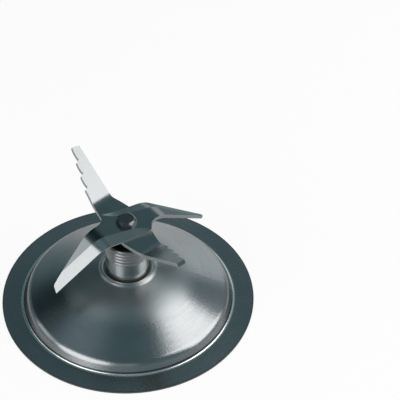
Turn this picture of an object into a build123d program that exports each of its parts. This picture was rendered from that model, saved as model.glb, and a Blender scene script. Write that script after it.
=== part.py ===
from build123d import *
import math
import os

# Blender blade assembly, millimetres, +Z up. The flange of the dish lies on z = 0 and the shaft
# stands on the Z axis. X runs to the right of the photo and Y away from the viewer.

os.makedirs("parts", exist_ok=True)

# Fits shared by the pieces
RUN_FIT = 0.04          # radial play of a turning fit
END_PLAY = 0.1          # axial play of the rotor at each thrust face
LOOSE_FIT = 0.1         # radial play of pieces that are slipped on
THREAD_FIT = 0.02       # radial play left in a thread drawn as a plain cylinder

# Dish: stamped from one sheet
SHEET = 0.8
FLANGE_R = 50.0
FOOT_R = 41.6
FOOT_FILLET = 1.0
SHOULDER_R = 39.3
SHOULDER_Z = 4.7
SHOULDER_FILLET = 4.0
CROWN_R = 20.5          # where the dome's slope eases off towards the post
CROWN_Z = 14.1
CROWN_FILLET = 32.0
BELL_R = 11.3
BELL_Z = 16.1
BELL_FILLET = 2.0
RIDGE_R = 9.9
RIDGE_Z = 17.3
RIDGE_FILLET = 0.6
SEAT_EDGE_R = 9.4
SEAT_FILLET = 0.5
SEAT_Z = 16.3           # upper face of the seat for the post

# Post: turned housing
POST_R = 8.5
POST_TOP = 32.4
NECK_R = 7.2
NECK_BOTTOM = 13.0
BORE_R = 6.0
MOUTH_R = 7.75
MOUTH_Z = 28.4
RIM_CHAMFER = 0.3
GROOVES = 4             # rings turned into the upper half of the post
GROOVE_PITCH = 1.6
GROOVE_WIDTH = 0.9
GROOVE_DEPTH = 0.22

# Gasket, washer and nut that hold the post
GASKET_R = 8.8
GASKET_T = 0.8
LOCK_T = 0.6
LOCK_R = 10.0
LOCK_GAP = 1.2
NUT_T = 1.8
NUT_FLATS = 19.0

# Bushes, felt and thrust washers
JOURNAL_R = 4.0
BUSH_LENGTH = 5.4
BUSH_CHAMFER = 0.4
THRUST_T = 0.8
FELT_PLAY = 0.25

# Seal and its garter spring
SEAL_HEIGHT = 2.9
SEAL_WALL = 0.75
SEAL_WEB = 0.7
LIP_T = 0.6
LIP_DROP = 2.2
LIP_SLOPE = 0.35        # fall of the web from the wall to the lip
SPRING_WIRE_R = 0.35
SPRING_RISE = 0.75      # from the end of the lip to the middle of the spring

# Shaft and spacer
SQUARE = 8.5
SQUARE_CHAMFER = 0.5
SHAFT_END = 10.2
SQUARE_TOP = 12.6
SEAT_SHAFT_R = 3.0
SEAT_FLAT = 2.3         # distance of the two flats from the axis
SHAFT_RECESS = 0.2      # how far the shaft stops short of the upper blade's face
SPACER_R = 5.4
SLINGER_R = 7.2
SLINGER_T = 2.2
END_RING_R = 2.75
END_RING_W = 0.35
END_RING_DEPTH = 0.3
CENTRE_DRILL_R = 0.9
CENTRE_DRILL_DEPTH = 0.6

# Blades: two strips of one sheet gauge, laid crosswise on the spacer.
# Their outlines are those of the flat blanks, with the x axis along the strip.
BLADE_T = 1.5
BLADE_Z = 37.7
BEND_R = 8.0            # inner radius of every bend
BEND_STEPS = 4          # sections that a bend is drawn through

# Bolt
BOLT_R = 2.0
BOLT_FLATS = 6.9
BOLT_HEAD = 2.0
BOLT_FACE_R = 2.85      # flat on top of the head, inside its turned chamfer
BOLT_CHAMFER = 35.0     # slope of that chamfer
BOLT_LENGTH = 8.5
TAP_DEPTH = 10.0

# Coupling
HUB_R = 14.0
HUB_BOTTOM = 7.6
HUB_TOP = 12.2
HUB_CHAMFER = 1.2
CUP_LIP = 1.0           # flat ring of the hub round the cup
CUP_SLANT = 1.4         # sloping ring inside it
CUP_DEPTH = 0.9
WELL_R = 8.0            # second step down to the square
WELL_SLANT = 0.7
WELL_DEPTH = 1.7
CLAWS = 6
CLAW_R = 22.5
CLAW_BOTTOM = 4.6
CLAW_TOP = 9.8
CLAW_ROUND = 0.7
FLAT_ANGLE = 22.0       # from the driving wall to the start of the ramp
RAMP_ANGLE = 25.0
RAMP_STEP = 0.5
RAMP_SLOPE = 21.0
SLOT_GAP = 0.6          # from the hub to the slot beside the ramp
SLOT_WIDTH = 1.3
SLOT_ANGLES = (5.0, 20.0)
NOTCH_DEPTH = 1.2       # small notch in the rim where the ramp begins
NOTCH_ANGLE = 2.5


def corner_path(points):
    """Edges through (x, y, radius) corners, each corner rounded by its radius."""
    edges = []
    start = Vector(points[0][0], points[0][1])
    for k in range(1, len(points) - 1):
        here = Vector(points[k][0], points[k][1])
        before = (Vector(points[k - 1][0], points[k - 1][1]) - here).normalized()
        after = (Vector(points[k + 1][0], points[k + 1][1]) - here).normalized()
        half = math.acos(before.dot(after)) / 2
        radius = points[k][2]
        reach = radius / math.tan(half)
        middle = (before + after).normalized()
        arc_start = here + before * reach
        arc_end = here + after * reach
        arc_mid = here + middle * (radius / math.sin(half) - radius)
        edges.append(Line(start, arc_start))
        edges.append(ThreePointArc(arc_start, arc_mid, arc_end))
        start = arc_end
    edges.append(Line(start, Vector(points[-1][0], points[-1][1])))
    return edges


def shifted(points, distance):
    """The same corners moved by a distance to the left of the path, with radii to suit."""
    moved = []
    count = len(points)
    for k in range(count):
        x, y, radius = points[k]
        dirs = []
        if k > 0:
            dirs.append(Vector(x - points[k - 1][0], y - points[k - 1][1]).normalized())
        if k < count - 1:
            dirs.append(Vector(points[k + 1][0] - x, points[k + 1][1] - y).normalized())
        normals = [Vector(-d.Y, d.X) for d in dirs]
        mean = sum(normals, Vector(0, 0)).normalized()
        reach = distance / mean.dot(normals[0])
        turn = 0.0
        if len(dirs) == 2:
            turn = math.copysign(1.0, dirs[0].X * dirs[1].Y - dirs[0].Y * dirs[1].X)
        moved.append((x + mean.X * reach, y + mean.Y * reach, radius - turn * distance))
    return moved


def turned(points):
    """A piece turned about the Z axis from (radius, height) corners."""
    outline = make_face(Polyline(*[Vector(x, 0, z) for x, z in points], close=True).edges())
    return revolve(outline, Axis.Z)


def tube(inner, outer, bottom, top):
    return turned([(inner, bottom), (outer, bottom), (outer, top), (inner, top)])


def save(piece, name):
    export_step(piece, "parts/" + name + ".step")


# base_dish: the middle line of the sheet, thickened to both sides and turned
middle = [
    (FLANGE_R, SHEET / 2, 0),
    (FOOT_R, SHEET / 2, FOOT_FILLET),
    (SHOULDER_R, SHOULDER_Z, SHOULDER_FILLET),
    (CROWN_R, CROWN_Z, CROWN_FILLET),
    (BELL_R, BELL_Z, BELL_FILLET),
    (RIDGE_R, RIDGE_Z, RIDGE_FILLET),
    (SEAT_EDGE_R, SEAT_Z - SHEET / 2, SEAT_FILLET),
    (NECK_R + LOOSE_FIT, SEAT_Z - SHEET / 2, 0),
]
under = shifted(middle, SHEET / 2)
over = shifted(middle, -SHEET / 2)
sides = corner_path(under) + corner_path(over)
sides.append(Line((over[0][0], over[0][1]), (under[0][0], under[0][1])))
sides.append(Line((over[-1][0], over[-1][1]), (under[-1][0], under[-1][1])))
base_dish = revolve(Plane.XZ * make_face(sides), Axis.Z)
save(base_dish, "base_dish")

# bearing_post: stepped bore, threaded neck below the shoulder, rings round the upper half
post_foot = SEAT_Z + GASKET_T
rings = []
for k in range(GROOVES, 0, -1):
    ring_z = POST_TOP - k * GROOVE_PITCH
    rings.append((POST_R, ring_z - GROOVE_WIDTH / 2))
    rings.append((POST_R - GROOVE_DEPTH, ring_z))
    rings.append((POST_R, ring_z + GROOVE_WIDTH / 2))
bearing_post = turned([
    (BORE_R, NECK_BOTTOM),
    (NECK_R, NECK_BOTTOM),
    (NECK_R, post_foot),
    (POST_R, post_foot),
    *rings,
    (POST_R, POST_TOP - RIM_CHAMFER),
    (POST_R - RIM_CHAMFER, POST_TOP),
    (MOUTH_R, POST_TOP),
    (MOUTH_R, MOUTH_Z),
    (BORE_R, MOUTH_Z),
])
save(bearing_post, "bearing_post")

# post_gasket, lock_washer and ring_nut: the clamped stack round the neck
post_gasket = tube(NECK_R + LOOSE_FIT, GASKET_R, SEAT_Z, post_foot)
save(post_gasket, "post_gasket")

seat_under = SEAT_Z - SHEET
lock_washer = tube(NECK_R + LOOSE_FIT, LOCK_R, seat_under - LOCK_T, seat_under)
lock_washer -= Pos(LOCK_R, 0, seat_under) * Box(LOCK_R * 2, LOCK_GAP, LOCK_T * 4)
save(lock_washer, "lock_washer")

nut_top = seat_under - LOCK_T
nut_hex = RegularPolygon(NUT_FLATS / 2, 6, major_radius=False)
ring_nut = Pos(0, 0, nut_top - NUT_T) * extrude(nut_hex, NUT_T)
ring_nut -= Pos(0, 0, nut_top - NUT_T / 2) * Cylinder(NECK_R + THREAD_FIT, NUT_T * 2)
save(ring_nut, "ring_nut")

# Bushes, felt and thrust washers, from the bottom of the bore to its top
thrust_low = SQUARE_TOP + END_PLAY
low_bush_bottom = thrust_low + THRUST_T
low_bush_top = low_bush_bottom + BUSH_LENGTH
up_bush_top = MOUTH_Z - THRUST_T
up_bush_bottom = up_bush_top - BUSH_LENGTH
bush_bore = JOURNAL_R + RUN_FIT


def bush(bottom):
    top = bottom + BUSH_LENGTH
    return turned([
        (bush_bore, bottom + BUSH_CHAMFER),
        (bush_bore + BUSH_CHAMFER, bottom),
        (BORE_R, bottom),
        (BORE_R, top),
        (bush_bore + BUSH_CHAMFER, top),
        (bush_bore, top - BUSH_CHAMFER),
    ])


save(bush(low_bush_bottom), "lower_bush")
save(bush(up_bush_bottom), "upper_bush")
save(tube(JOURNAL_R + FELT_PLAY, BORE_R, low_bush_top, up_bush_bottom), "oil_felt")
save(tube(JOURNAL_R + LOOSE_FIT, BORE_R, thrust_low, low_bush_bottom), "lower_thrust_washer")
save(tube(JOURNAL_R + LOOSE_FIT, BORE_R, up_bush_top, MOUTH_Z), "upper_thrust_washer")

# shaft_seal: wall, web and a lip that hangs from the web, with the spring behind the lip
seal_top = MOUTH_Z + SEAL_HEIGHT
lip_in = SPACER_R + RUN_FIT
lip_out = lip_in + LIP_T
lip_bottom = seal_top - LIP_DROP
shaft_seal = turned([
    (MOUTH_R, MOUTH_Z),
    (MOUTH_R, seal_top),
    (lip_in, seal_top - LIP_SLOPE),
    (lip_in, lip_bottom),
    (lip_out, lip_bottom),
    (lip_out, seal_top - SEAL_WEB),
    (MOUTH_R - SEAL_WALL, seal_top - SEAL_WEB),
    (MOUTH_R - SEAL_WALL, MOUTH_Z),
])
save(shaft_seal, "shaft_seal")

seal_spring = Pos(0, 0, lip_bottom + SPRING_RISE) * Torus(lip_out + SPRING_WIRE_R, SPRING_WIRE_R)
save(seal_spring, "seal_spring")

# drive_shaft: square end, journal, seat with two flats, tapped hole
shaft_top = BLADE_Z + 2 * BLADE_T - SHAFT_RECESS
square_end = Rectangle(SQUARE, SQUARE)
square_end = chamfer(square_end.vertices(), SQUARE_CHAMFER)
drive_shaft = Pos(0, 0, SHAFT_END) * extrude(square_end, SQUARE_TOP - SHAFT_END)
drive_shaft += turned([(0, SQUARE_TOP), (JOURNAL_R, SQUARE_TOP), (JOURNAL_R, BLADE_Z), (0, BLADE_Z)])
seat_bar = Circle(SEAT_SHAFT_R) & Rectangle(SEAT_SHAFT_R * 2, SEAT_FLAT * 2)
drive_shaft += Pos(0, 0, BLADE_Z) * extrude(seat_bar, shaft_top - BLADE_Z)
drive_shaft -= Pos(0, 0, shaft_top - TAP_DEPTH / 2) * Cylinder(BOLT_R, TAP_DEPTH)
drive_shaft -= tube(END_RING_R - END_RING_W, END_RING_R, SHAFT_END, SHAFT_END + END_RING_DEPTH)
drive_shaft -= Pos(0, 0, SHAFT_END) * Cylinder(CENTRE_DRILL_R, CENTRE_DRILL_DEPTH * 2)
save(drive_shaft, "drive_shaft")

# blade_spacer: sleeve that the seal runs on, with a slinger under the blades
spacer_bottom = MOUTH_Z + END_PLAY
blade_spacer = turned([
    (JOURNAL_R + THREAD_FIT, spacer_bottom),
    (SPACER_R, spacer_bottom),
    (SPACER_R, BLADE_Z - SLINGER_T),
    (SLINGER_R, BLADE_Z - SLINGER_T / 2),
    (SLINGER_R, BLADE_Z),
    (JOURNAL_R + THREAD_FIT, BLADE_Z),
])
save(blade_spacer, "blade_spacer")


def bent_arm(flat, reach, angle):
    """The part of a flat strip beyond x = reach, bent up by the angle (down if negative).

    The middle of the sheet keeps its length round the bend.
    """
    box = flat.bounding_box()
    bend_length = (BEND_R + BLADE_T / 2) * math.radians(abs(angle))
    far = Pos(reach + bend_length + FLANGE_R, 0, box.min.Z) * Box(FLANGE_R * 2, FLANGE_R * 2, FLANGE_R)
    arm = Pos(-bend_length, 0, 0) * (flat & far)
    if angle > 0:
        axis = Axis((reach, 0, box.max.Z + BEND_R), (0, -1, 0))
    else:
        axis = Axis((reach, 0, box.min.Z - BEND_R), (0, 1, 0))
    cuts = []
    for k in range(BEND_STEPS + 1):
        share = k / BEND_STEPS
        across = Plane((reach + bend_length * share, 0, 0), x_dir=(0, 1, 0), z_dir=(1, 0, 0))
        cut = Pos(-bend_length * share, 0, 0) * section(flat, across)
        cuts.append(cut.rotate(axis, abs(angle) * share).face())
    elbow = loft(cuts)
    return elbow + arm.rotate(axis, abs(angle))


def bent_strip(flat, reach, angle_front, angle_back):
    """A strip with the half-turn symmetry of its outline, both ends bent at x = +-reach."""
    hub = flat & (Pos(0, 0, BLADE_Z) * Box(reach * 2, FLANGE_R * 2, FLANGE_R))
    front = bent_arm(flat, reach, angle_front)
    back = bent_arm(flat, reach, angle_back).rotate(Axis.Z, 180)
    return hub + front + back


def seat_hole():
    hole = Circle(SEAT_SHAFT_R + THREAD_FIT)
    hole &= Rectangle(SEAT_SHAFT_R * 3, (SEAT_FLAT + THREAD_FIT) * 2)
    return Pos(0, 0, BLADE_Z - BLADE_T) * extrude(hole, BLADE_T * 5)


def turn_back(point):
    return (-point[0], -point[1])


# serrated_blade: lower strip, both arms bent up, stepped scallops on the leading edges
SAW_TURN = -48.5        # plan direction of the front arm
SAW_BEND_ANGLE = 30.0
SAW_REACH = 13.6        # where the bends begin
SAW_LEAD = (6.0, 6.0)       # leading corner of the hub
SAW_SWELL = 0.6         # how far the leading edge swells before the first tooth
SAW_TOOTH = (23.6, 0.7)     # first tooth
SAW_PITCH = (5.5, -2.05)    # from tooth to tooth
SAW_BITE = (0.6, -1.45)     # step from a tooth into its scallop
SAW_TEETH = 3
SAW_HOLLOW = 0.3        # how deep the edge sags between two teeth
SAW_TIP = (40.75, -5.8)
SAW_TIP_TRAIL = (40.0, -8.85)
SAW_TRAIL_ROOT = (15.5, -6.6)
SAW_TRAIL = (6.0, -7.6)     # trailing corner of the hub
SAW_FLARE_HOLLOW = 0.2  # sag of the curve from the arm into the hub


def saw_side(sign):
    """Outline of one side, from the hub round the arm's leading edge and tip to the other side."""
    edges = []
    here = SAW_LEAD
    for k in range(SAW_TEETH):
        tooth = (SAW_TOOTH[0] + k * SAW_PITCH[0], SAW_TOOTH[1] + k * SAW_PITCH[1])
        valley = (tooth[0] + SAW_BITE[0], tooth[1] + SAW_BITE[1])
        if k == 0:
            edges.append(SagittaArc(here, tooth, -SAW_SWELL))
        else:
            edges.append(SagittaArc(here, tooth, SAW_HOLLOW))
        edges.append(Line(tooth, valley))
        here = valley
    edges.append(SagittaArc(here, SAW_TIP, SAW_HOLLOW))
    edges.append(Line(SAW_TIP, SAW_TIP_TRAIL))
    edges.append(Line(SAW_TIP_TRAIL, SAW_TRAIL_ROOT))
    edges.append(SagittaArc(SAW_TRAIL_ROOT, SAW_TRAIL, SAW_FLARE_HOLLOW))
    edges.append(Line(SAW_TRAIL, turn_back(SAW_LEAD)))
    if sign < 0:
        edges = [edge.rotate(Axis.Z, 180) for edge in edges]
    return edges


saw_flat = Pos(0, 0, BLADE_Z) * extrude(make_face(saw_side(1) + saw_side(-1)), BLADE_T)
serrated_blade = bent_strip(saw_flat, SAW_REACH, SAW_BEND_ANGLE, SAW_BEND_ANGLE)
serrated_blade = serrated_blade.rotate(Axis.Z, SAW_TURN) - seat_hole()
save(serrated_blade, "serrated_blade")

# plain_blade: upper strip, both arms bent down, wide ground bevel on the leading edges
CUT_TURN = 34.8         # plan direction of the back right arm
CUT_RIGHT_BEND_ANGLE = -32.3
CUT_LEFT_BEND_ANGLE = -44.5
CUT_REACH = 10.4
CUT_CORNER = (5.3, -8.95)    # hub corner on the trailing side
CUT_CORNER_R = 0.8
CUT_NOTCH = (7.4, -6.1)
CUT_NOTCH_MID = (8.9, -5.2)
CUT_ROOT = (11.5, -4.85)
CUT_LEAD = (11.0, 6.45)     # leading edge at the bend
CUT_TIP = (39.85, -1.1)
CUT_TIP_TRAIL = (38.2, -3.75)
CUT_TIP_R = 1.5
BEVEL_WIDTH = 4.7
BEVEL_DEPTH = 1.1
BEVEL_START = 9.0       # how far before the bend the wheel leaves its full depth
WHEEL_R = 40.0
blade_top = BLADE_Z + 2 * BLADE_T


def cut_side(sign):
    edges = [
        Line(turn_back(CUT_CORNER), CUT_LEAD),
        Line(CUT_LEAD, CUT_TIP),
        Line(CUT_TIP, CUT_TIP_TRAIL),
        Line(CUT_TIP_TRAIL, CUT_ROOT),
        ThreePointArc(CUT_ROOT, CUT_NOTCH_MID, CUT_NOTCH),
        Line(CUT_NOTCH, CUT_CORNER),
    ]
    if sign < 0:
        edges = [edge.rotate(Axis.Z, 180) for edge in edges]
    return edges


def bevel_tool():
    """What the grinding wheel takes off the leading edge of one arm of the flat strip."""
    along = Vector(CUT_TIP[0] - CUT_LEAD[0], CUT_TIP[1] - CUT_LEAD[1], 0).normalized()
    inward = Vector(along.Y, -along.X, 0)
    slope = math.atan2(BEVEL_DEPTH, BEVEL_WIDTH)
    across = inward * math.cos(slope) + Vector(0, 0, 1) * math.sin(slope)
    origin = Vector(CUT_LEAD[0], CUT_LEAD[1], blade_top - BEVEL_DEPTH)
    ground = Plane(origin - across * BEVEL_WIDTH, x_dir=along, z_dir=across)
    rise = BEVEL_WIDTH
    run = math.sqrt(WHEEL_R ** 2 - (WHEEL_R - rise) ** 2)
    lift = -1.0 if ground.y_dir.Z < 0 else 1.0
    half = math.asin(run / WHEEL_R) / 2
    bend = (-BEVEL_START - WHEEL_R * math.sin(half), lift * WHEEL_R * (1 - math.cos(half)))
    end = (-BEVEL_START - run, lift * rise)
    sides = [
        Line((FLANGE_R, 0), (-BEVEL_START, 0)),
        ThreePointArc((-BEVEL_START, 0), bend, end),
        Line(end, (FLANGE_R, lift * rise)),
        Line((FLANGE_R, lift * rise), (FLANGE_R, 0)),
    ]
    return extrude(ground * make_face(sides), BEVEL_WIDTH * 3, dir=across)


cut_face = make_face(cut_side(1) + cut_side(-1))
for corner, corner_r in ((CUT_CORNER, CUT_CORNER_R), (CUT_TIP_TRAIL, CUT_TIP_R)):
    rounded = [v for v in cut_face.vertices() if abs(abs(v.Y) - abs(corner[1])) < 0.01]
    cut_face = fillet(rounded, corner_r)
cut_flat = Pos(0, 0, BLADE_Z + BLADE_T) * extrude(cut_face, BLADE_T)
tool = bevel_tool()
cut_flat -= tool
cut_flat -= tool.rotate(Axis.Z, 180)
plain_blade = bent_strip(cut_flat, CUT_REACH, CUT_RIGHT_BEND_ANGLE, CUT_LEFT_BEND_ANGLE)
plain_blade = plain_blade.rotate(Axis.Z, CUT_TURN) - seat_hole()
save(plain_blade, "plain_blade")

# blade_bolt: hex head with a turned chamfer, plain shank for the thread
bolt_hex = RegularPolygon(BOLT_FLATS / 2, 6, major_radius=False)
blade_bolt = Pos(0, 0, blade_top) * extrude(bolt_hex, BOLT_HEAD)
chamfer_out = BOLT_FLATS
chamfer_fall = (chamfer_out - BOLT_FACE_R) * math.tan(math.radians(BOLT_CHAMFER))
head_top = blade_top + BOLT_HEAD
blade_bolt &= turned([
    (0, blade_top),
    (chamfer_out, blade_top),
    (chamfer_out, head_top - chamfer_fall),
    (BOLT_FACE_R, head_top),
    (0, head_top),
])
blade_bolt += Pos(0, 0, blade_top - BOLT_LENGTH / 2) * Cylinder(BOLT_R - THREAD_FIT, BOLT_LENGTH)
save(blade_bolt, "blade_bolt")

# drive_coupling: moulded cup with a square hole, six claws with a driving wall and a ramp each
cup_r = HUB_R - CUP_LIP
drive_coupling = turned([
    (0, HUB_BOTTOM + WELL_DEPTH),
    (WELL_R - WELL_SLANT, HUB_BOTTOM + WELL_DEPTH),
    (WELL_R, HUB_BOTTOM + CUP_DEPTH),
    (cup_r - CUP_SLANT, HUB_BOTTOM + CUP_DEPTH),
    (cup_r, HUB_BOTTOM),
    (HUB_R, HUB_BOTTOM),
    (HUB_R, HUB_TOP - HUB_CHAMFER),
    (HUB_R - HUB_CHAMFER, HUB_TOP),
    (0, HUB_TOP),
])


def sector(inner, outer, start, end):
    """A piece of a ring between two angles, as high as a claw."""
    corners = []
    for radius in (inner, outer):
        for angle in (start, (start + end) / 2, end):
            turn = math.radians(angle)
            corners.append((radius * math.cos(turn), radius * math.sin(turn)))
    outline = make_face([
        ThreePointArc(corners[0], corners[1], corners[2]),
        ThreePointArc(corners[3], corners[4], corners[5]),
        Line(corners[0], corners[3]),
        Line(corners[2], corners[5]),
    ])
    return Pos(0, 0, CLAW_BOTTOM) * extrude(outline, CLAW_TOP - CLAW_BOTTOM)


slot_r = HUB_R + SLOT_GAP
claw = sector(HUB_R - HUB_CHAMFER / 2, CLAW_R, -FLAT_ANGLE, RAMP_ANGLE)
rim_edges = [e for e in claw.edges().filter_by(Axis.Z) if e.center().X > slot_r + SLOT_WIDTH]
claw = fillet(rim_edges, CLAW_ROUND)
ramp_floor = Box(CLAW_R * 2, CLAW_R, CLAW_TOP, align=(Align.CENTER, Align.MIN, Align.MAX))
claw -= Pos(CLAW_R, 0, CLAW_BOTTOM + RAMP_STEP) * Rot(RAMP_SLOPE, 0, 0) * ramp_floor
claw -= sector(slot_r, slot_r + SLOT_WIDTH, *SLOT_ANGLES)
claw -= sector(CLAW_R - NOTCH_DEPTH, CLAW_R * 2, -NOTCH_ANGLE, NOTCH_ANGLE)
for k in range(CLAWS):
    drive_coupling += claw.rotate(Axis.Z, k * 360 / CLAWS)
drive_coupling -= Pos(0, 0, HUB_TOP) * Box(SQUARE, SQUARE, HUB_TOP)
save(drive_coupling, "drive_coupling")
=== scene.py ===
import math

import bpy
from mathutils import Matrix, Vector

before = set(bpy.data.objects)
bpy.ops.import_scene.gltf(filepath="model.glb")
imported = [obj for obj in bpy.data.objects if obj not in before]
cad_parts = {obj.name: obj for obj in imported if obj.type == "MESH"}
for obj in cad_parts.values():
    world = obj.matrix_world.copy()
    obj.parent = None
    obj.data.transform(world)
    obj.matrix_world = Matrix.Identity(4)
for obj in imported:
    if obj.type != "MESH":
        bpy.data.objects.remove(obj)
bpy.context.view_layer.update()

# Base dish
# One round of stainless sheet, pressed into a flat flange, a low dome and a collar for the post.
# Its polish runs in arcs round the post and is duller near it. The flange has faint lathe lines.
DISH_COLOUR = (0.260, 0.265, 0.267, 1.0)
DISH_SHADE = (0.170, 0.178, 0.181, 1.0)
# Painted light: the dome's colour is lighter round the post, to brighten that zone.
DISH_SATIN_PAINTED_LIGHT = (0.255, 0.268, 0.268, 1.0)
# Painted highlights: light rings on the fillet at the wall's foot and round the collar, standing in for
# reflections.
DISH_PAINTED_HIGHLIGHT = (0.62, 0.605, 0.595, 1.0)
# Painted shade: a dark ring in the corner just inside the wall's foot; the flange's cut rim is darkened
# too.
DISH_CORNER_SHADE_AND_DARK_RIM = (0.05, 0.055, 0.056, 1.0)
FLANGE_START = 0.0405
FLANGE_END = 0.0425
FOOT_R = 0.0421
FOOT_HALF = 0.0006
CORNER_R = 0.0415
CORNER_HALF = 0.0003
RIM_START = 0.0495
RIM_END = 0.0499
RIM_DARKENING = 0.8
COLLAR_R = 0.0095
COLLAR_HALF = 0.0011
COLLAR_HIGHLIGHT_SHARE = 0.6
SATIN_R = 0.021
POLISHED_R = 0.029
SWIRL_REACH = 3.0
SWIRL_PITCH = 900.0
SWIRL_SHARE = 0.6
LATHE_PITCH = 2600.0
DISH_GRAIN = 1500.0
DISH_CLOUDS = 70.0
DISH_ROUGHNESS = (0.17, 0.25)
CLOUD_ROUGHNESS = 0.06
SATIN_ROUGHNESS = 0.16
LATHE_ROUGHNESS = 0.04
GRAIN_HEIGHT = 0.8
LATHE_HEIGHT = 0.1
DISH_BUMP = 0.00003


class Wire:
    """A socket of a material's nodes. Sums on it add Math nodes, and node() adds any other."""

    def __init__(self, tree, socket=None):
        self.tree = tree
        self.socket = socket

    def node(self, kind, settings=None, sockets=None, out=0):
        """Adds a node with its settings and inputs, and returns one of its outputs as a wire."""
        made = self.tree.nodes.new("ShaderNode" + kind)
        for name, value in (settings or {}).items():
            setattr(made, name, value)
        for name, value in (sockets or {}).items():
            if isinstance(value, Wire):
                self.tree.links.new(value.socket, made.inputs[name])
            else:
                made.inputs[name].default_value = value
        return Wire(self.tree, made.outputs[out] if made.outputs else None)

    def sum(self, operation, first, second):
        return self.node("Math", {"operation": operation}, {0: first, 1: second})

    def __add__(self, other):
        return self.sum("ADD", self, other)

    def __sub__(self, other):
        return self.sum("SUBTRACT", self, other)

    def __rsub__(self, other):
        return self.sum("SUBTRACT", other, self)

    def __mul__(self, other):
        return self.sum("MULTIPLY", self, other)

    def __pow__(self, other):
        return self.sum("POWER", self, other)

    __radd__ = __add__
    __rmul__ = __mul__


def new_finish(name, fixed):
    """A material with the fixed values of its shader set, and a wire to start its sums from."""
    finish = bpy.data.materials.new(name)
    finish.use_nodes = True
    shader = finish.node_tree.nodes["Principled BSDF"]
    for socket, value in fixed.items():
        shader.inputs[socket].default_value = value
    return finish, Wire(finish.node_tree)


def feed(finish, sockets):
    """Links what varies over the surface to the material's shader."""
    shader = finish.node_tree.nodes["Principled BSDF"]
    for socket, wire in sockets.items():
        finish.node_tree.links.new(wire.socket, shader.inputs[socket])


def place_in_part(start):
    """The point on the surface, in the part's own frame."""
    return start.node("TexCoord", out="Object")


def coordinate(vector, axis):
    """The X, Y or Z of a point or a direction."""
    return vector.node("SeparateXYZ", None, {0: vector}, axis)


def grain(point, scale, detail=2.0, rough=0.5):
    """Even noise with a given number of grains to the metre."""
    sockets = {"Vector": point, "Scale": scale, "Detail": detail, "Roughness": rough}
    return point.node("TexNoise", None, sockets, "Fac")


def lines(value, scale, detail=3.0, rough=0.6):
    """Noise along one value only, so that it draws lines where that value is constant."""
    sockets = {"W": value, "Scale": scale, "Detail": detail, "Roughness": rough}
    return value.node("TexNoise", {"noise_dimensions": "1D"}, sockets, "Fac")


def swirl(x, y, radius, reach, pitch):
    """Noise drawn out into arcs round the axis: reach sets how short they are, pitch how close."""
    share = radius ** -1.0 * reach
    place = radius.node("CombineXYZ", None, {"X": x * share, "Y": y * share, "Z": radius * pitch})
    return grain(place, 1.0, detail=3.0, rough=0.6)


def ramp(value, low, high, start=0.0, end=1.0):
    """A smooth step of a value from low to high, mapped to start and end."""
    settings = {"interpolation_type": "SMOOTHSTEP"}
    sockets = {"Value": value, "From Min": low, "From Max": high, "To Min": start, "To Max": end}
    return value.node("MapRange", settings, sockets)


def ring_at(radius, middle, half):
    """1 on a ring round the axis, falling to 0 at half its width to either side."""
    off = radius.node("Math", {"operation": "ABSOLUTE"}, {0: radius - middle})
    return ramp(off, half / 2, half, 1.0, 0.0)


def spread(mark, limits):
    """Turns a mark of 0 to 1 into a value between two limits."""
    low, high = limits
    return low + mark * (high - low)


def tint(factor, first, second):
    """Mixes two colours. Sockets 6 and 7 of a Mix node are its colours, and output 2 their mix."""
    return factor.node("Mix", {"data_type": "RGBA"}, {0: factor, 6: first, 7: second}, 2)


def bump(height, distance):
    """Raises the surface by a distance in metres where the height is 1."""
    return height.node("Bump", None, {"Height": height, "Distance": distance, "Strength": 1.0}, "Normal")


def dress(node, finish):
    """Gives a CAD node its material."""
    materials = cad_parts[node].data.materials
    materials.clear()
    materials.append(finish)


dish_steel, start = new_finish("dish_steel", {
    "Metallic": 1.0,
    "Anisotropic": 0.55,
    "Anisotropic Rotation": 0.25,
})
point = place_in_part(start)
x = coordinate(point, "X")
y = coordinate(point, "Y")
radius = (x * x + y * y) ** 0.5
on_flange = ramp(radius, FLANGE_START, FLANGE_END)
near_post = ramp(radius, SATIN_R, POLISHED_R, 1.0, 0.0)
# Painted highlights: light rings at the foot of the dome's wall and round the collar.
painted_highlights = ring_at(radius, FOOT_R, FOOT_HALF) + ring_at(radius, COLLAR_R, COLLAR_HALF) * COLLAR_HIGHLIGHT_SHARE
# Painted shade in the corner inside the wall's foot, plus a darker cut rim of the flange.
corner_shade_and_dark_rim = ring_at(radius, CORNER_R, CORNER_HALF) + ramp(radius, RIM_START, RIM_END) * RIM_DARKENING
lathe = lines(radius, LATHE_PITCH) * on_flange
spun = swirl(x, y, radius, SWIRL_REACH, SWIRL_PITCH)
fine = grain(point, DISH_GRAIN)
cloud = grain(point, DISH_CLOUDS, detail=3.0)
marks = cloud * (1 - SWIRL_SHARE) + spun * SWIRL_SHARE
# Painted light: near the post the colour turns lighter.
tone_and_painted_light = tint(near_post, tint(marks, DISH_SHADE, DISH_COLOUR), DISH_SATIN_PAINTED_LIGHT)
dulled = cloud * CLOUD_ROUGHNESS + near_post * SATIN_ROUGHNESS + lathe * LATHE_ROUGHNESS
relief = fine * (1 - on_flange) * GRAIN_HEIGHT + lathe * LATHE_HEIGHT + spun * near_post
feed(dish_steel, {
    "Base Color": tint(painted_highlights, tint(corner_shade_and_dark_rim, tone_and_painted_light, DISH_CORNER_SHADE_AND_DARK_RIM), DISH_PAINTED_HIGHLIGHT),
    "Roughness": spread(fine, DISH_ROUGHNESS) + dulled,
    "Normal": bump(relief, DISH_BUMP),
})
dress("base_dish", dish_steel)

# Bearing post
# A stainless housing turned from bar, with rings round its upper half and a bore for the bushes.
# Its neck goes down through the dish, where the ring nut holds it.
POST_COLOUR = (0.66, 0.665, 0.66, 1.0)
POST_SHADE = (0.46, 0.47, 0.47, 1.0)
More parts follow.
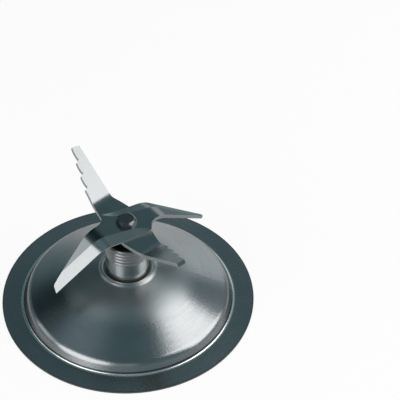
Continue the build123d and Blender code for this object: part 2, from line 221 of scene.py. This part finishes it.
# Painted shade: the ringed upper half of the post is darker in colour, for the shade under the blades.
POST_RINGS_PAINTED_SHADE = (0.27, 0.275, 0.275, 1.0)
RINGS_START = 0.0248
RINGS_END = 0.0256
POST_TURNING = 5200.0
POST_ROUGHNESS = (0.1, 0.18)
RINGED_ROUGHNESS = 0.2
POST_BUMP = 0.000012

post_steel, start = new_finish("post_steel", {
    "Metallic": 1.0,
    "Anisotropic": 0.2,
    "Anisotropic Rotation": 0.25,
})
height = coordinate(place_in_part(start), "Z")
turning = lines(height, POST_TURNING)
ringed = ramp(height, RINGS_START, RINGS_END)
feed(post_steel, {
    # Painted shade: darker colour on the ringed upper half.
    "Base Color": tint(ringed, tint(turning, POST_SHADE, POST_COLOUR), POST_RINGS_PAINTED_SHADE),
    "Roughness": spread(turning, POST_ROUGHNESS) + ringed * RINGED_ROUGHNESS,
    "Normal": bump(turning, POST_BUMP),
})
dress("bearing_post", post_steel)

# Gasket under the post
# A flat ring of black rubber that keeps the jar from leaking along the neck.
GASKET_BLACK = (0.012, 0.013, 0.013, 1.0)
GASKET_GREY = (0.03, 0.031, 0.031, 1.0)
GASKET_GRAIN = 900.0
GASKET_ROUGHNESS = (0.55, 0.8)
GASKET_BUMP = 0.00002

gasket_rubber, start = new_finish("gasket_rubber", {"Specular IOR Level": 0.35})
bloom = grain(place_in_part(start), GASKET_GRAIN, detail=4.0)
feed(gasket_rubber, {
    "Base Color": tint(bloom, GASKET_BLACK, GASKET_GREY),
    "Roughness": spread(bloom, GASKET_ROUGHNESS),
    "Normal": bump(bloom, GASKET_BUMP),
})
dress("post_gasket", gasket_rubber)

# Lock washer, thrust washers and ring nut
# Small zinc-plated steel pieces, punched from strip or cut from hexagon bar.
# The nut on the post's neck draws the post, gasket and dish together over the lock washer.
ZINC_LIGHT = (0.36, 0.38, 0.38, 1.0)
ZINC_DARK = (0.22, 0.235, 0.24, 1.0)
ZINC_SPANGLE = 1300.0
ZINC_ROUGHNESS = (0.3, 0.5)
ZINC_BUMP = 0.00001


def zinc_plate(name):
    """Steel with the fine spangle of zinc plating."""
    finish, start = new_finish(name, {"Metallic": 1.0})
    spangle = grain(place_in_part(start), ZINC_SPANGLE, detail=4.0)
    feed(finish, {
        "Base Color": tint(spangle, ZINC_DARK, ZINC_LIGHT),
        "Roughness": spread(spangle, ZINC_ROUGHNESS),
        "Normal": bump(spangle, ZINC_BUMP),
    })
    return finish


washer_steel = zinc_plate("washer_steel")
for washer in ("lock_washer", "lower_thrust_washer", "upper_thrust_washer"):
    dress(washer, washer_steel)
dress("ring_nut", zinc_plate("nut_steel"))

# Bushes
# Two bearings of sintered bronze, pressed into the post's bore, porous so that they hold oil.
BRONZE_LIGHT = (0.50, 0.30, 0.15, 1.0)
BRONZE_DARK = (0.20, 0.11, 0.055, 1.0)
PORE_GRAIN = 5200.0
PORE_FLOOR = 0.3
PORE_SIDE = 0.35
PORE_RIM = 0.5
BRONZE_ROUGHNESS = (0.5, 0.35)
BRONZE_BUMP = 0.00003

bush_bronze, start = new_finish("bush_bronze", {"Metallic": 1.0})
pores = grain(place_in_part(start), PORE_GRAIN, detail=3.0)
between_pores = ramp(pores, PORE_SIDE, PORE_RIM)
feed(bush_bronze, {
    "Base Color": tint(between_pores, BRONZE_DARK, BRONZE_LIGHT),
    "Roughness": spread(between_pores, BRONZE_ROUGHNESS),
    "Normal": bump(ramp(pores, PORE_FLOOR, PORE_RIM), BRONZE_BUMP),
})
for bush in ("lower_bush", "upper_bush"):
    dress(bush, bush_bronze)

# Oil felt
# A ring of wool felt between the bushes, soaked in oil that it gives back to the shaft.
FELT_LIGHT = (0.48, 0.42, 0.30, 1.0)
FELT_DARK = (0.26, 0.22, 0.14, 1.0)
FELT_FIBRES = 3600.0
FELT_ROUGHNESS = (0.75, 0.95)
FELT_BUMP = 0.00012

felt, start = new_finish("felt", {"Specular IOR Level": 0.3, "Sheen Weight": 0.3})
fibres = grain(place_in_part(start), FELT_FIBRES, detail=6.0, rough=0.7)
feed(felt, {
    "Base Color": tint(fibres, FELT_DARK, FELT_LIGHT),
    "Roughness": spread(fibres, FELT_ROUGHNESS),
    "Normal": bump(fibres, FELT_BUMP),
})
dress("oil_felt", felt)

# Shaft seal
# A lip seal of black nitrile rubber, pressed into the mouth of the post against the spacer.
SEAL_BLACK = (0.008, 0.009, 0.009, 1.0)
SEAL_GREY = (0.02, 0.021, 0.021, 1.0)
SEAL_GRAIN = 1500.0
SEAL_ROUGHNESS = (0.5, 0.75)
SEAL_BUMP = 0.000015

seal_rubber, start = new_finish("seal_rubber", {"Specular IOR Level": 0.3})
mottle = grain(place_in_part(start), SEAL_GRAIN, detail=3.0)
feed(seal_rubber, {
    "Base Color": tint(mottle, SEAL_BLACK, SEAL_GREY),
    "Roughness": spread(mottle, SEAL_ROUGHNESS),
    "Normal": bump(mottle, SEAL_BUMP),
})
dress("shaft_seal", seal_rubber)

# Garter spring
# A ring of drawn steel wire that presses the seal's lip inwards from behind.
SPRING_LIGHT = (0.36, 0.38, 0.38, 1.0)
SPRING_DARK = (0.16, 0.17, 0.17, 1.0)
SPRING_GRAIN = 6000.0
SPRING_ROUGHNESS = (0.25, 0.4)
SPRING_BUMP = 0.00001

spring_steel, start = new_finish("spring_steel", {"Metallic": 1.0})
drawn = grain(place_in_part(start), SPRING_GRAIN)
feed(spring_steel, {
    "Base Color": tint(drawn, SPRING_DARK, SPRING_LIGHT),
    "Roughness": spread(drawn, SPRING_ROUGHNESS),
    "Normal": bump(drawn, SPRING_BUMP),
})
dress("seal_spring", spring_steel)

# Drive shaft
# A ground steel shaft with a square lower end for the coupling and two flats for the blades.
# The bolt screws into its upper end.
SHAFT_LIGHT = (0.24, 0.25, 0.255, 1.0)
SHAFT_DARK = (0.12, 0.13, 0.135, 1.0)
SHAFT_GRINDING = 6000.0
OIL_PATCHES = 500.0
SHAFT_ROUGHNESS = (0.18, 0.28)
OIL_ROUGHNESS = 0.1
SHAFT_BUMP = 0.000008

shaft_steel, start = new_finish("shaft_steel", {"Metallic": 1.0})
point = place_in_part(start)
ground = lines(coordinate(point, "Z"), SHAFT_GRINDING)
oil = grain(point, OIL_PATCHES, detail=3.0)
feed(shaft_steel, {
    "Base Color": tint(oil, SHAFT_DARK, SHAFT_LIGHT),
    "Roughness": spread(ground, SHAFT_ROUGHNESS) + oil * OIL_ROUGHNESS,
    "Normal": bump(ground + oil, SHAFT_BUMP),
})
dress("drive_shaft", shaft_steel)

# Blade spacer
# A turned stainless sleeve on the shaft, with a slinger that throws liquid clear of the seal.
SPACER_LIGHT = (0.27, 0.28, 0.285, 1.0)
SPACER_DARK = (0.19, 0.20, 0.205, 1.0)
SPACER_TURNING = 5000.0
SPACER_ROUGHNESS = (0.2, 0.3)
SPACER_BUMP = 0.00001

spacer_steel, start = new_finish("spacer_steel", {"Metallic": 1.0})
turned = lines(coordinate(place_in_part(start), "Z"), SPACER_TURNING)
feed(spacer_steel, {
    "Base Color": tint(turned, SPACER_DARK, SPACER_LIGHT),
    "Roughness": spread(turned, SPACER_ROUGHNESS),
    "Normal": bump(turned, SPACER_BUMP),
})
dress("blade_spacer", spacer_steel)

# Serrated blade
# The lower of the two strips: hardened stainless sheet, blanked with scallops on the leading edges,
# then bent up at both ends. Fine brush lines run along it.
SAW_TURN = math.radians(-48.5)
SAW_SHINE = (1.0, 1.0, 1.0, 1.0)
BLADE_LIGHT = (0.230, 0.236, 0.238, 1.0)
BLADE_DARK = (0.195, 0.203, 0.206, 1.0)
# Painted highlight: upright cut edges are lighter in colour; their extra roughness is the sheared
# finish.
EDGE_PAINTED_HIGHLIGHT = (0.31, 0.335, 0.34, 1.0)
BRUSH_PITCH = 4200.0
BLADE_BLOTCHES = 180.0
BLADE_ROUGHNESS = (0.14, 0.24)
BLOTCH_ROUGHNESS = 0.06
SHEARED_ROUGHNESS = 0.35
BLADE_BUMP = 0.000006
UPRIGHT_BELOW = 0.04
SLANTED_ABOVE = 0.2


def on_upright_faces(start):
    """1 on faces that stand upright, 0 on those that lie flat or slant."""
    rise = coordinate(start.node("TexCoord", out="Normal"), "Z")
    return ramp(rise * rise, UPRIGHT_BELOW, SLANTED_ABOVE, 1.0, 0.0)


def brushed_strip(name, turn, grazing_shine):
    """Blade sheet with brush lines along the strip, whose plan direction is given."""
    finish, start = new_finish(name, {"Metallic": 1.0, "Specular Tint": grazing_shine})
    point = place_in_part(start)
    across = coordinate(point, "Y") * math.cos(turn) - coordinate(point, "X") * math.sin(turn)
    brush = lines(across, BRUSH_PITCH)
    blotch = grain(point, BLADE_BLOTCHES, detail=3.0)
    sheared = on_upright_faces(start)
    dulled = blotch * BLOTCH_ROUGHNESS + sheared * SHEARED_ROUGHNESS
    feed(finish, {
        # Painted highlight: lighter colour on upright cut edges.
        "Base Color": tint(sheared, tint(blotch, BLADE_DARK, BLADE_LIGHT), EDGE_PAINTED_HIGHLIGHT),
        "Roughness": spread(brush, BLADE_ROUGHNESS) + dulled,
        "Normal": bump(brush, BLADE_BUMP),
    })
    return finish


dress("serrated_blade", brushed_strip("serrated_steel", SAW_TURN, SAW_SHINE))

# Plain blade
# The upper strip, bent down at both ends, with a wide bevel ground on each leading edge.
# It shines less at grazing angles than the lower one.
CUT_TURN = math.radians(34.8)
CUT_SHINE = (0.30, 0.39, 0.40, 1.0)

dress("plain_blade", brushed_strip("plain_steel", CUT_TURN, CUT_SHINE))

# Blade bolt
# An M4 hexagon bolt that clamps both strips on the shaft. Its head is chamfered by turning.
# Its flats are painted lighter and its top darker than the steel is: painted light and shade.
BOLT_TOP_SHADE_LIGHT = (0.125, 0.132, 0.135, 1.0)
BOLT_TOP_SHADE_DARK = (0.068, 0.075, 0.078, 1.0)
BOLT_FLATS_PAINTED_LIGHT = (0.28, 0.285, 0.285, 1.0)
BOLT_GRAIN = 1600.0
BOLT_ROUGHNESS = (0.2, 0.35)
BOLT_BUMP = 0.00001

bolt_steel, start = new_finish("bolt_steel", {"Metallic": 1.0})
drawn = grain(place_in_part(start), BOLT_GRAIN, detail=4.0)
feed(bolt_steel, {
    # Painted light and shade: lighter flats, darker top.
    "Base Color": tint(on_upright_faces(start), tint(drawn, BOLT_TOP_SHADE_DARK, BOLT_TOP_SHADE_LIGHT), BOLT_FLATS_PAINTED_LIGHT),
    "Roughness": spread(drawn, BOLT_ROUGHNESS),
    "Normal": bump(drawn, BOLT_BUMP),
})
dress("blade_bolt", bolt_steel)

# Drive coupling
# White acetal plastic, moulded in one piece: a cup with a square hole, and six claws round it.
# The motor's own claws push on the upright walls of these.
COUPLING_WHITE = (0.78, 0.80, 0.82, 1.0)
COUPLING_GREY = (0.70, 0.72, 0.75, 1.0)
COUPLING_FLOW = 120.0
COUPLING_GRAIN = 2500.0
COUPLING_ROUGHNESS = (0.35, 0.5)
COUPLING_BUMP = 0.000015

coupling_plastic, start = new_finish("coupling_plastic", {
    "Specular IOR Level": 0.45,
    "Subsurface Weight": 0.15,
    "Subsurface Scale": 0.001,
})
point = place_in_part(start)
flow = grain(point, COUPLING_FLOW, detail=4.0)
satin = grain(point, COUPLING_GRAIN, detail=3.0)
feed(coupling_plastic, {
    "Base Color": tint(flow, COUPLING_GREY, COUPLING_WHITE),
    "Roughness": spread(satin, COUPLING_ROUGHNESS),
    "Normal": bump(satin, COUPLING_BUMP),
})
dress("drive_coupling", coupling_plastic)

# Floor and room
# A white table top, 0.84 m square and open from below, so that the underside can be looked at.
# The room is white to the camera. Metal mirrors a dim one: dark at the left, lighter at the right.
FLOOR_HALF = 0.42
FLOOR_WHITE = (0.86, 0.86, 0.86, 1.0)
FLOOR_GLOW = 0.88
FLOOR_FILL = 0.4
WHITE = (1.0, 1.0, 1.0, 1.0)
ROOM_FILL = (0.26, 0.26, 0.26, 1.0)
WALLS = (0.24, 0.37, 0.41, 1.0)
CEILING = (0.16, 0.28, 0.32, 1.0)
CEILING_WAY = (0.0, 0.0, 1.0)
SKYLIGHT = (0.36, 0.50, 0.50, 1.0)
SKYLIGHT_WAY = (0.05, 0.28, 0.96)
RIGHT_WALL = (0.37, 0.48, 0.53, 1.0)
RIGHT_WALL_WAY = (0.62, 0.52, 0.59)
DARK_CORNER = (0.0, 0.025, 0.025, 1.0)
DARK_CORNER_WAY = (-0.50, 0.55, 0.67)
LEFT_PANEL = (0.37, 0.52, 0.59, 1.0)
LEFT_PANEL_WAY = (-0.46, 0.0, 0.89)

corners = [
    (-FLOOR_HALF, -FLOOR_HALF, 0),
    (FLOOR_HALF, -FLOOR_HALF, 0),
    (FLOOR_HALF, FLOOR_HALF, 0),
    (-FLOOR_HALF, FLOOR_HALF, 0),
]
floor_mesh = bpy.data.meshes.new("floor")
floor_mesh.from_pydata(corners, [], [(0, 1, 2, 3)])
floor = bpy.data.objects.new("floor", floor_mesh)
bpy.context.scene.collection.objects.link(floor)


def seen_directly(start):
    """1 for rays from the camera and rays that a mirror or glass sends on, 0 for the rest."""
    camera_ray = start.node("LightPath", out="Is Camera Ray")
    mirror_ray = start.node("LightPath", out="Is Glossy Ray")
    glass_ray = start.node("LightPath", out="Is Transmission Ray")
    return start.sum("MINIMUM", camera_ray + mirror_ray + glass_ray, 1.0)


floor_paint = bpy.data.materials.new("floor_paint")
floor_paint.use_nodes = True
floor_paint.node_tree.nodes.clear()
start = Wire(floor_paint.node_tree)
matt = start.node("BsdfDiffuse", None, {"Color": FLOOR_WHITE})
glow = start.node("Emission", None, {"Color": WHITE, "Strength": 1.0})
floor_look = start.node("MixShader", None, {
    0: spread(seen_directly(start), (FLOOR_FILL, FLOOR_GLOW)),
    1: matt,
    2: glow,
})
open_below = start.node("MixShader", None, {
    0: start.node("NewGeometry", out="Backfacing"),
    1: floor_look,
    2: start.node("BsdfTransparent"),
})
start.node("OutputMaterial", None, {"Surface": open_below})
floor_mesh.materials.append(floor_paint)

room = bpy.data.worlds.new("room")
room.use_nodes = True
room.node_tree.nodes.clear()
bpy.context.scene.world = room


def towards(ray, way, inner, outer):
    """1 for rays within inner degrees of a way, falling to 0 at outer degrees."""
    middle = Vector(way).normalized()
    along = ray.node("VectorMath", {"operation": "DOT_PRODUCT"}, {0: ray, 1: middle}, "Value")
    return ramp(along, math.cos(math.radians(outer)), math.cos(math.radians(inner)))


start = Wire(room.node_tree)
ray = start.node("TexCoord", out="Generated")
mirrored = tint(towards(ray, CEILING_WAY, inner=55, outer=70), WALLS, CEILING)
mirrored = tint(towards(ray, SKYLIGHT_WAY, inner=4, outer=14), mirrored, SKYLIGHT)
mirrored = tint(towards(ray, RIGHT_WALL_WAY, inner=12, outer=26), mirrored, RIGHT_WALL)
mirrored = tint(towards(ray, DARK_CORNER_WAY, inner=12, outer=28), mirrored, DARK_CORNER)
mirrored = tint(towards(ray, LEFT_PANEL_WAY, inner=4, outer=20), mirrored, LEFT_PANEL)
seen = tint(start.node("LightPath", out="Is Camera Ray"), mirrored, WHITE)
lighting = tint(seen_directly(start), ROOM_FILL, seen)
backing = start.node("Background", None, {"Color": lighting, "Strength": 1.0})
start.node("OutputWorld", None, {"Surface": backing})

# Lamps
# Five soft boxes: a large one high on the right, a low round one at the front left, and weaker
# ones in front, at the left and behind.
AIM = Vector((0.0, 0.0, 0.02))
LAMP_WARMTH = (1.0, 0.975, 0.965)


def soft_box(name, way, distance, width, height, radiance, shape="RECTANGLE"):
    """An area lamp of a given brightness, turned to the part."""
    lamp = bpy.data.lights.new(name, "AREA")
    lamp.shape = shape
    lamp.size = width
    lamp.size_y = height
    lamp.color = LAMP_WARMTH
    area = width * height * (math.pi / 4 if shape == "ELLIPSE" else 1)
    lamp.energy = radiance * math.pi * area
    box = bpy.data.objects.new(name, lamp)
    back = Vector(way).normalized()
    box.location = AIM + back * distance
    box.rotation_euler = back.to_track_quat("Z", "Y").to_euler()
    box.visible_camera = False
    bpy.context.scene.collection.objects.link(box)


soft_box("right_lamp", way=(0.763, -0.075, 0.643), distance=0.8, width=0.62, height=0.76, radiance=3.8)
soft_box("front_left_lamp", way=(-0.51, -0.458, 0.29), distance=0.75, width=0.74, height=0.54,
         radiance=3.5, shape="ELLIPSE")
soft_box("front_lamp", way=(-0.13, -0.90, 0.38), distance=0.8, width=0.36, height=0.3, radiance=0.45)
soft_box("left_lamp", way=(-0.92, 0.05, 0.40), distance=0.8, width=0.32, height=0.3, radiance=1.5)
soft_box("back_lamp", way=(0.36, 0.90, 0.25), distance=0.9, width=0.70, height=0.46, radiance=1.0)

# Camera
# The photo's view: from the front, about 43 degrees above the table.
CAMERA_PLACE = (-0.000155, -0.369807, 0.393981)
CAMERA_TILT = (47.226, -0.918, -3.477)
CAMERA_LENS = 121.108
CAMERA_SENSOR = 36.0

eye = bpy.data.cameras.new("camera")
eye.sensor_width = CAMERA_SENSOR
eye.lens = CAMERA_LENS
camera = bpy.data.objects.new("camera", eye)
camera.location = CAMERA_PLACE
camera.rotation_euler = [math.radians(angle) for angle in CAMERA_TILT]
bpy.context.scene.collection.objects.link(camera)
bpy.context.scene.camera = camera
bpy.context.scene.view_settings.view_transform = "Standard"
